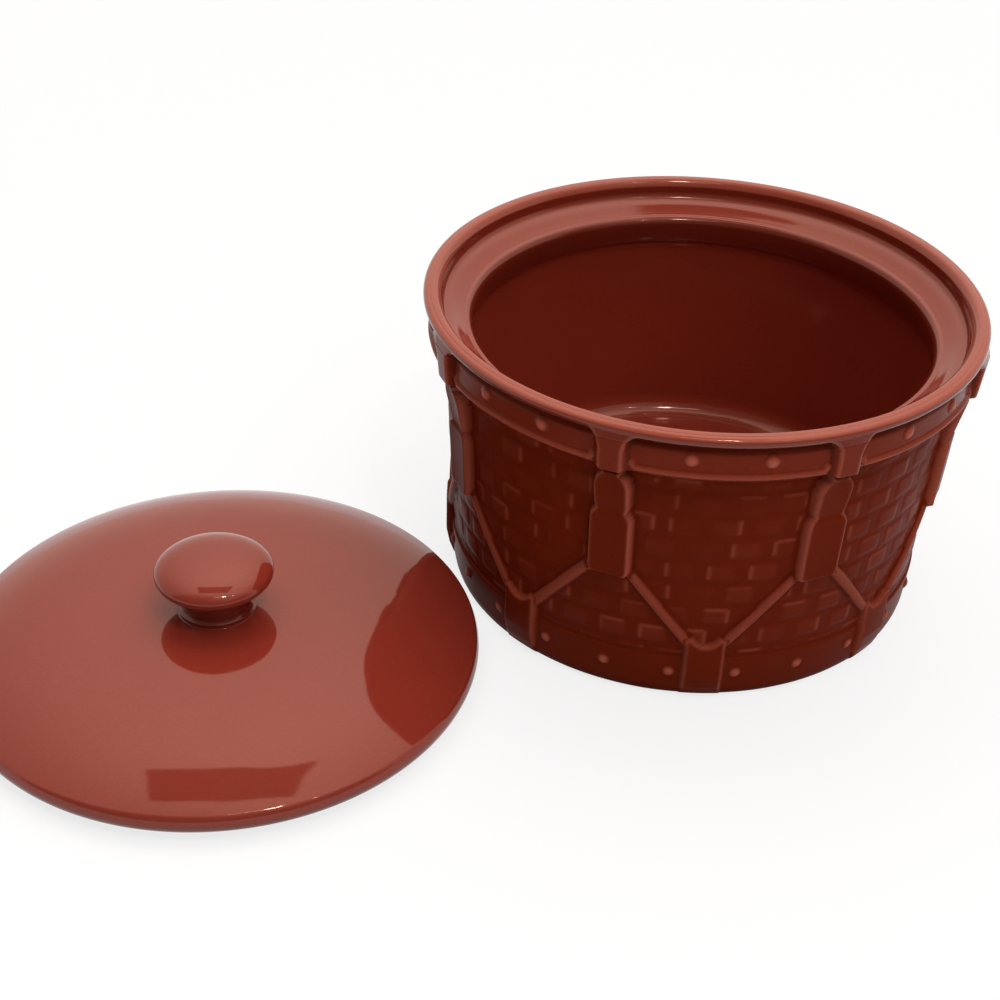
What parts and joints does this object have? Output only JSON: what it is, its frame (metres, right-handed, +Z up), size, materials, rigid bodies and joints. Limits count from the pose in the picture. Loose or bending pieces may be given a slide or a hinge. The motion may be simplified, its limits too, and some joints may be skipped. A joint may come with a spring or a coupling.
{
  "type": "rumtopf pot",
  "caption": "Low glazed stoneware crock with strap, rope and weave relief, and a low domed lid with a mushroom knob lying beside it.",
  "frame": {"origin": "centre of the crock's foot ring, on the surface it stands on", "axes": "+Z up along the crock's axis, -Y the front, +X to the right; the lid lies at the crock's front left"},
  "size_m": [0.4122, 0.2998, 0.131],
  "materials": {
    "glaze": "glossy oxblood glaze",
    "relief_glaze": "glossy oxblood glaze, thinner on raised edges"
  },
  "bodies": {
    "crock": {"crock_shell": "glaze", "weave_pads": "relief_glaze", "ear_flaps": "glaze", "strap_bands": "glaze", "strap_heads": "glaze", "diagonal_ropes": "relief_glaze", "foot_tabs": "glaze", "panel_beads": "relief_glaze", "band_rivets": "relief_glaze", "foot_rivets": "relief_glaze"},
    "lid": {"lid_plate": "glaze", "lid_knob": "glaze"}
  },
  "joints": [
    {"name": "lid_lift", "type": "slide", "parent": "crock", "child": "lid", "axis": [-0.239, -0.1, 0.9659], "range_m": [0, 0.2]}
  ]
}
